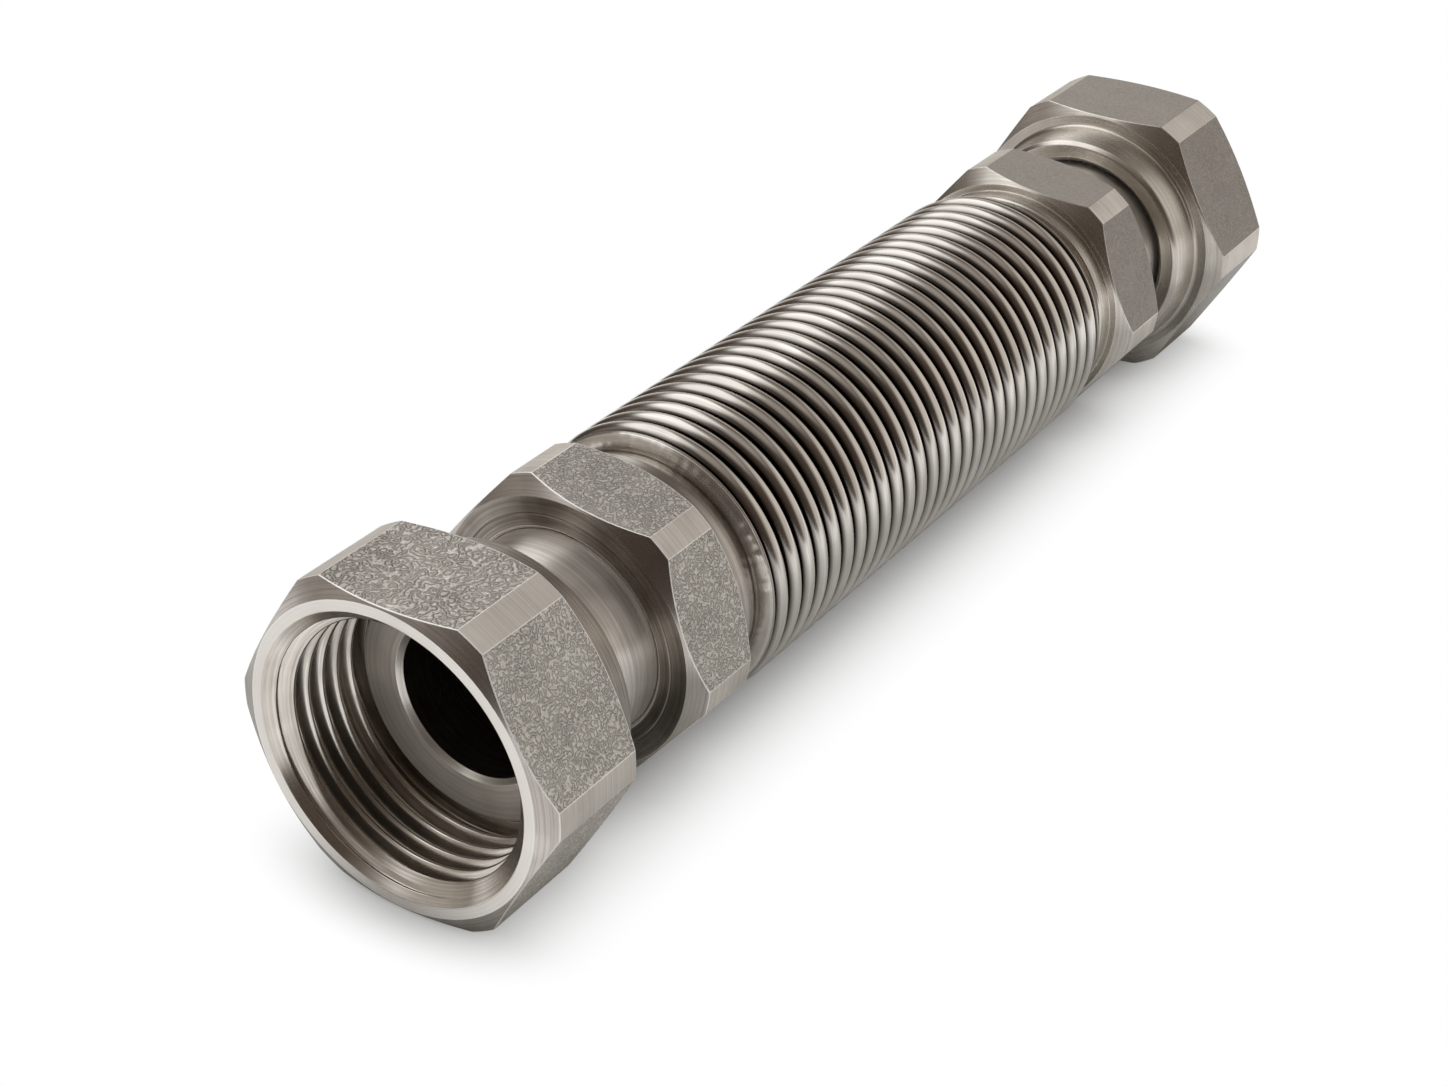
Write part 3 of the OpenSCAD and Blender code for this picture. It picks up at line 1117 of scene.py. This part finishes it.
@dataclass
class CorrugatedTube:
    """The thin tube, one convolution repeated along the hose, with a flat rim at each end."""

    crest_r: float = 17.4
    root_r: float = 13.2
    pitch: float = 2.9
    crests: int = 28
    groove_w: float = 0.5
    wall: float = 0.3
    rim_r: float = 17.0
    rim_edge: float = 0.05
    columns: int = 140
    crest_steps: int = 12
    root_steps: int = 2
    inner_crest_steps: int = 2
    inner_root_steps: int = 1
    rim_steps: int = 3
    join_mm: float = 0.002

    def turn_lines(self, name: str, lines: Sequence[Line]) -> Object:
        """Turns open lines about X into one mesh.

        Args:
            name: The mesh's name.
            lines: The places along the axis and the radii of each line.

        Returns:
            An object with the mesh, to be read by the tree.
        """
        places: list[Triple] = []
        faces: list[tuple[int, int, int, int]] = []
        for line in lines:
            start, count = len(places), len(line)
            for column in range(self.columns):
                turn = 2 * math.pi * column / self.columns
                cos, sin = math.cos(turn), math.sin(turn)
                places += [(x * MM, r * MM * cos, r * MM * sin) for x, r in line]
                a = start + column * count
                b = start + (column + 1) % self.columns * count
                faces += [(a + i, a + i + 1, b + i + 1, b + i) for i in range(count - 1)]
        mesh = bpy.data.meshes.new(name)
        mesh.from_pydata(places, [], faces)
        return show(name, mesh)

    @staticmethod
    def arc(x: float, r: float, radius: float, start: float, end: float, steps: int) -> Line:
        """Points of an arc in the section, by angles in degrees from +X towards outwards."""
        turns = [math.radians(start + (end - start) * i / steps) for i in range(steps + 1)]
        return [(x + radius * math.cos(t), r + radius * math.sin(t)) for t in turns]

    def convolution(self) -> Object:
        """Builds one convolution about x = 0, from root to root.

        Returns:
            An object with its outer and inner face.
        """
        half, root = self.pitch / 2, self.groove_w / 2
        crest = half - root
        root_c, crest_c = self.root_r + root, self.crest_r - crest
        thin, wide = crest - self.wall, root + self.wall
        outer = (
            self.arc(-half, root_c, root, 270, 360, self.root_steps)
            + self.arc(0, crest_c, crest, 180, 0, self.crest_steps)
            + self.arc(half, root_c, root, 180, 270, self.root_steps)
        )
        inner = (
            self.arc(half, root_c, wide, 270, 180, self.inner_root_steps)
            + self.arc(0, crest_c, thin, 0, 180, self.inner_crest_steps)
            + self.arc(-half, root_c, wide, 360, 270, self.inner_root_steps)
        )
        return self.turn_lines("convolution", [outer[::-1], inner[::-1]])

    def rims(self) -> Object:
        """Builds both flat rims, each with the half root that joins it to a convolution.

        Returns:
            An object with both.
        """
        end, edge, root = PLACES.tube_end, self.rim_edge, self.groove_w / 2
        wide = root + self.wall
        root_c = self.root_r + root
        middle = end - wide
        right = (
            self.arc(middle, root_c, root, 270, 360, self.rim_steps)
            + [(end - self.wall, self.rim_r - edge), (end - self.wall + edge, self.rim_r)]
            + [(end - edge, self.rim_r), (end, self.rim_r - edge)]
            + self.arc(middle, root_c, wide, 360, 270, self.rim_steps)
        )
        left = [(-x, r) for x, r in right]
        return self.turn_lines("rims", [right[::-1], left])

    @staticmethod
    def tube_tree() -> NodeTree:
        """Builds the tree that repeats the convolution along the hose and adds the rims.

        Returns:
            The tree.
        """
        kinds = {"Convolution": "Object", "Crests": "Int", "Pitch": "Float", "Finish": "Material"}
        tree = open_tree("form corrugated tube", "Rims", kinds, "Tube")
        add = partial(add_node, tree)
        given = add("NodeGroupInput").outputs
        spaces = add(MATH, {0: given["Crests"], 1: 1.0}, operation="SUBTRACT")
        length = add(MATH, {0: spaces, 1: given["Pitch"]}, operation="MULTIPLY")
        start = add(MATH, {0: length, 1: -0.5}, operation="MULTIPLY")
        first = add(MERGE, {"X": start})
        step = add(MERGE, {"X": given["Pitch"]})
        row = {"Count": given["Crests"], "Start Location": first, "Offset": step}
        line = add("GeometryNodeMeshLine", row, mode="OFFSET")
        one = add("GeometryNodeObjectInfo", {"Object": given["Convolution"]}).outputs["Geometry"]
        many = add("GeometryNodeInstanceOnPoints", {"Points": line, "Instance": one})
        joined = add("GeometryNodeJoinGeometry", {0: given["Rims"]})
        tree.links.new(many.outputs[0], joined.inputs[0])
        close_tree(tree, joined, given["Finish"])
        return tree

    def build(self, kit: Kit) -> None:
        """Builds and dresses the tube.

        Args:
            kit: The hose's materials.
        """
        one = self.convolution()
        piece = self.rims()
        piece.name = "corrugated_hose_wall"
        for source in (one, piece):
            dress(source.data, kit, Finish.TUBE)
        values = {
            "Convolution": one,
            "Crests": self.crests,
            "Pitch": self.pitch * MM,
            "Finish": kit[Finish.TUBE],
        }
        bake_nodes(piece, self.tube_tree(), values)
        bpy.data.objects.remove(one)
        shell = bmesh.new()
        shell.from_mesh(piece.data)
        bmesh.ops.remove_doubles(shell, verts=shell.verts, dist=self.join_mm * MM)
        shell.to_mesh(piece.data)
        shell.free()
        piece.data.shade_smooth()
        piece.data.transform(Side.FAR.placement)
        settle(piece, "hose", "corrugated_tube")


# ---- studio


@dataclass(frozen=True)
class Camera:
    """The photograph's camera, fitted to the corners of the nuts, hexagons and corrugations."""

    place: Triple = (-0.24275, -0.1412, 0.17129)
    azimuth: float = 33.0386
    elevation: float = 31.1998
    roll: float = -0.9807
    focal_px: float = 2490.94
    image_w: int = 1448
    sensor_mm: float = 36.0
    clip: tuple[float, float] = (0.01, 50.0)

    def build(self) -> None:
        """Makes the camera and gives it to the scene."""
        az, el, roll = (math.radians(a) for a in (self.azimuth, self.elevation, self.roll))
        forward = Vector((math.cos(az) * math.cos(el), math.sin(az) * math.cos(el), -math.sin(el)))
        level = Vector((math.sin(az), -math.cos(az), 0.0))
        down = forward.cross(level)
        right = level * math.cos(roll) + down * math.sin(roll)
        below = down * math.cos(roll) - level * math.sin(roll)
        data = bpy.data.cameras.new("photograph camera")
        data.sensor_width = self.sensor_mm
        data.sensor_fit = "HORIZONTAL"
        data.lens = self.focal_px * self.sensor_mm / self.image_w
        data.clip_start, data.clip_end = self.clip
        camera = show("photograph camera", data)
        axes = Matrix((right, -below, -forward)).transposed().to_4x4()
        camera.matrix_world = Matrix.Translation(self.place) @ axes
        bpy.context.scene.camera = camera
        log.info("camera: lens %.2f mm", data.lens)


@dataclass(frozen=True)
class Panel:
    """A lighter place in the cloth.

    Fields: the way to its middle, the cosines where it starts and is full, and how light it is.
    """

    way: Triple
    start: float
    full: float
    strength: float


@dataclass(frozen=True)
class Studio:
    """A pale paper floor in a white room, a large soft box behind the hose, and cloth round it.

    The floor's fades are distances from the hose's axis, in metres. A distance past its ends,
    counted from end_margin before the mouths, weighs near_ends or far_ends times as much.
    """

    floor_colour: str = "#CCCCCA"
    floor_sides: int = 96
    floor_reach: float = 3.0
    floor_z: float = -2e-5
    near_fade: tuple[float, float] = (0.001, 0.024)
    far_fade: tuple[float, float] = (0.03, 0.12)
    near_ends: float = 2.0
    far_ends: float = 9.0
    end_margin: float = 4.0
    plain_level: float = 0.6
    box_size: tuple[float, float] = (1.8, 0.95)
    box_place: Triple = (0.0, 0.66, 0.88)
    box_level: float = 0.45
    key_size: tuple[float, float] = (0.5, 0.5)
    key_place: Triple = (0.1, -0.25, 1.05)
    key_level: float = 5.2
    cloth_radius: float = 0.5
    cloth_columns: int = 64
    cloth_rows: int = 24
    cloth_rise: tuple[float, float] = (-3, 89.5)
    cloth_colour: str = "#524840"
    panel_colour: str = "#DCD6CF"
    panels: tuple[Panel, ...] = (
        Panel((0.743, -0.669, 0.0), 0.38, 0.94, 1.0),
        Panel((0.0, 0.0, 1.0), 0.7, 1.0, 0.5),
        Panel((-0.74, 0.62, 0.26), 0.75, 1.0, 0.6),
        Panel((0.85, 0.5, 0.17), 0.7, 1.0, 0.7),
    )
    # Planes through the hose's middle that bound the cloth's opening: right, left and below
    opening: tuple[Triple, ...] = (
        (-0.588, 0.809, 0.0), (0.375, 0.927, 0.0), (0.107, -0.606, 0.789)
    )
    opening_edge: float = 0.09

    def build(self) -> None:
        """Builds the floor, the lamps, the cloth and the world."""
        self.floor()
        self.soft_box("soft box", self.box_size, self.box_place, self.box_level)
        # The key lights the matt skins, and leaves no spot in the polished crests
        key = self.soft_box("key", self.key_size, self.key_place, self.key_level)
        key.visible_glossy = False
        self.cloth()
        self.world()
        bpy.context.scene.view_settings.view_transform = "Standard"

    def floor(self) -> None:
        """Builds a round floor of matt paper that fades into the room past the hose's shadow."""
        turns = [2 * math.pi * i / self.floor_sides for i in range(self.floor_sides)]
        reach = self.floor_reach
        places = [(reach * math.cos(t), reach * math.sin(t), self.floor_z) for t in turns]
        mesh = bpy.data.meshes.new("paper floor")
        mesh.from_pydata(places, [], [list(range(self.floor_sides))])
        material = new_material("matt white paper")
        tree = material.node_tree
        add = partial(add_node, tree)
        tree.nodes.remove(tree.nodes["Principled BSDF"])
        matt = add("ShaderNodeBsdfDiffuse", {"Color": linear(self.floor_colour)})
        white = add("ShaderNodeEmission", {"Color": (1.0, 1.0, 1.0, 1.0), "Strength": 1.0})
        place = add(COORDINATES).outputs["Object"]
        part = add(SPLIT, {0: place}).outputs
        side = add(MATH, {0: part["X"]}, operation="ABSOLUTE")
        end = (PLACES.mouth - self.end_margin) * MM
        beyond = add(MATH, {0: side, 1: end}, operation="SUBTRACT")
        past = add(MATH, {0: beyond, 1: 0.0}, operation="MAXIMUM")
        ray = add("ShaderNodeLightPath").outputs
        # Paper shows as plain white to the camera past the hose's shadow, and in the metal further
        # off, but gives off no light
        seen = []
        for kind, (start, stop), weight in (
            ("Is Camera Ray", self.near_fade, self.near_ends),
            ("Is Glossy Ray", self.far_fade, self.far_ends),
        ):
            along = add(MATH, {0: past, 1: weight}, operation="MULTIPLY")
            off = add(MERGE, {"X": along, "Y": part["Y"]})
            distance = add(VECTOR, {0: off}, operation="LENGTH").outputs["Value"]
            fade = add(
                RANGE,
                {"Value": distance, "From Min": start, "From Max": stop},
                interpolation_type="SMOOTHSTEP",
            )
            seen.append(add(MATH, {0: fade, 1: ray[kind]}, operation="MULTIPLY"))
        share = add(MATH, dict(enumerate(seen)), operation="MAXIMUM")
        paper = add("ShaderNodeMixShader", {0: share, 1: matt, 2: white})
        tree.links.new(paper.outputs[0], tree.nodes["Material Output"].inputs["Surface"])
        mesh.materials.append(material)
        show("paper floor", mesh)

    @staticmethod
    def soft_box(name: str, size: tuple[float, float], place: Triple, level: float) -> Object:
        """Hangs an oval soft box that faces the hose.

        Args:
            name: The box's name.
            size: Its width and height in metres.
            place: Where its middle hangs.
            level: Its brightness, as a number of times plain white.

        Returns:
            The lamp.
        """
        data = bpy.data.lights.new(name, "AREA")
        data.shape = "ELLIPSE"
        data.size, data.size_y = size
        data.energy = level * math.pi * math.pi * size[0] * size[1] / 4
        lamp = show(name, data)
        facing = (-Vector(place)).to_track_quat("-Z", "Y").to_matrix().to_4x4()
        lamp.matrix_world = Matrix.Translation(place) @ facing
        return lamp

    def cloth(self) -> None:
        """Hangs cloth round the set, which only the metal sees: dark, and lighter in panels."""
        columns, rows = self.cloth_columns, self.cloth_rows
        low, high = (math.radians(rise) for rise in self.cloth_rise)
        turns = [2 * math.pi * column / columns for column in range(columns)]
        places = []
        for row in range(rows + 1):
            rise = low + (high - low) * row / rows
            flat, up = self.cloth_radius * math.cos(rise), self.cloth_radius * math.sin(rise)
            places += [(flat * math.cos(turn), flat * math.sin(turn), up) for turn in turns]
        corners = ((0, 0), (0, 1), (1, 1), (1, 0))
        faces = [
            [(row + r) * columns + (column + c) % columns for r, c in corners]
            for row in range(rows)
            for column in range(columns)
        ]
        mesh = bpy.data.meshes.new("dark cloth")
        mesh.from_pydata(places, [], faces)
        material = new_material("dark cloth")
        tree = material.node_tree
        add = partial(add_node, tree)
        tree.nodes.remove(tree.nodes["Principled BSDF"])
        place = add(COORDINATES).outputs["Object"]
        way = add(VECTOR, {0: place}, operation="NORMALIZE")
        # Inside all the planes there is no cloth, and where panels overlap the lighter one shows
        edge = self.opening_edge
        planes = [(plane, -edge, edge, 1.0) for plane in self.opening]
        opening = self.mask(tree, way, "MULTIPLY", planes)
        lobes = [(p.way, p.start, p.full, p.strength) for p in self.panels]
        lighter = self.mask(tree, way, "MAXIMUM", lobes)
        tones = {"Factor": lighter, 6: linear(self.cloth_colour), 7: linear(self.panel_colour)}
        colour = add(MIX, tones, data_type="RGBA").outputs[2]
        cloth = add("ShaderNodeEmission", {"Color": colour, "Strength": 1.0})
        clear = add("ShaderNodeBsdfTransparent")
        hung = add("ShaderNodeMixShader", {0: opening, 1: cloth, 2: clear})
        tree.links.new(hung.outputs[0], tree.nodes["Material Output"].inputs["Surface"])
        mesh.materials.append(material)
        piece = show("dark cloth", mesh)
        piece.visible_camera = piece.visible_diffuse = piece.visible_shadow = False

    @staticmethod
    def mask(
        tree: NodeTree,
        way: Node,
        operation: str,
        lobes: Sequence[tuple[Triple, float, float, float]],
    ) -> NodeSocket:
        """Joins lobes about the hose's middle into one mask.

        Args:
            tree: The cloth's tree.
            way: The node of the way to each place on the cloth.
            operation: The sum that joins two lobes.
            lobes: The way to each lobe's middle, the cosines where it starts and is full, and its
                value there.

        Returns:
            The mask.
        """
        add = partial(add_node, tree)
        joined = None
        for middle, start, full, value in lobes:
            near = add(VECTOR, {0: way, 1: middle}, operation="DOT_PRODUCT")
            cosine = near.outputs["Value"]
            lobe = add(
                RANGE,
                {"Value": cosine, "From Min": start, "From Max": full, "To Max": value},
                interpolation_type="SMOOTHSTEP",
            ).outputs["Result"]
            if joined is not None:
                lobe = add(MATH, {0: joined, 1: lobe}, operation=operation).outputs[0]
            joined = lobe
        return joined

    def world(self) -> None:
        """Makes the world: plain light for matt surfaces, white for the camera and the metal."""
        room = bpy.data.worlds.new("studio")
        bpy.context.scene.world = room
        room.use_nodes = True
        add = partial(add_node, room.node_tree)
        shine = room.node_tree.nodes["Background"].inputs
        ray = add("ShaderNodeLightPath").outputs
        rays = {0: ray["Is Glossy Ray"], 1: ray["Is Transmission Ray"]}
        mirrored = add(MATH, rays, operation="MAXIMUM")
        seen = add(MATH, {0: ray["Is Camera Ray"], 1: mirrored}, operation="MAXIMUM")
        levels = {"Value": seen, "To Min": self.plain_level, "To Max": 1.0}
        level = add(RANGE, levels).outputs["Result"]
        room.node_tree.links.new(level, shine["Strength"])
        shine["Color"].default_value = (1.0, 1.0, 1.0, 1.0)


# Each end, its hexagon's turn in degrees, and the seed of its weld's lumps
ENDS = ((Side.NEAR, -10.0, 3), (Side.FAR, 7.5, 8))


def main() -> None:
    logging.basicConfig(level=logging.INFO, format="%(name)s: %(message)s")
    kit = {finish: finish.value.build() for finish in Finish}
    thread = UnionNut.thread_tree()
    CorrugatedTube().build(kit)
    for side, turn, seed in ENDS:
        WeldSeam(side, seed).build(kit)
        HexBody(side, turn).build(kit)
        Tailpiece(side).build(kit)
        UnionNut(side).build(kit, thread)
    Studio().build()
    Camera().build()


if __name__ == "__main__":
    main()
